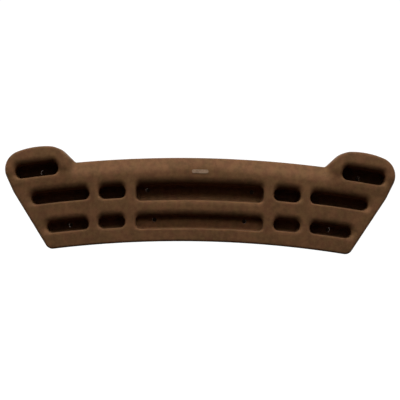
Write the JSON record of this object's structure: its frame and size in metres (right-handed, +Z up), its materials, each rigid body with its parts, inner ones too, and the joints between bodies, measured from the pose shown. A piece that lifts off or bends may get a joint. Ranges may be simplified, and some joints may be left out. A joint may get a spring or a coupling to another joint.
{
  "type": "hangboard",
  "caption": "Wall-mounted climbing training board: an arched resin casting with two raised jug horns, wide finger slots, finger pockets and open screw holes.",
  "frame": {"origin": "on the flat back, midway along the board and midway up the arched band there", "axes": "+X along the board, +Y out of the back into the wall, +Z up; the front faces -Y"},
  "size_m": [0.61, 0.057, 0.162],
  "materials": {
    "resin": "matte, cast with a fine grit",
    "badge": "matte",
    "washer_steel": "plain"
  },
  "bodies": {
    "root": {"board": "resin", "centre_badge": "badge", "washer_jug_left": "washer_steel", "washer_jug_right": "washer_steel", "washer_outer_left": "washer_steel", "washer_outer_right": "washer_steel", "washer_upper_left": "washer_steel", "washer_upper_right": "washer_steel", "washer_lower_left": "washer_steel", "washer_lower_right": "washer_steel"}
  },
  "joints": []
}
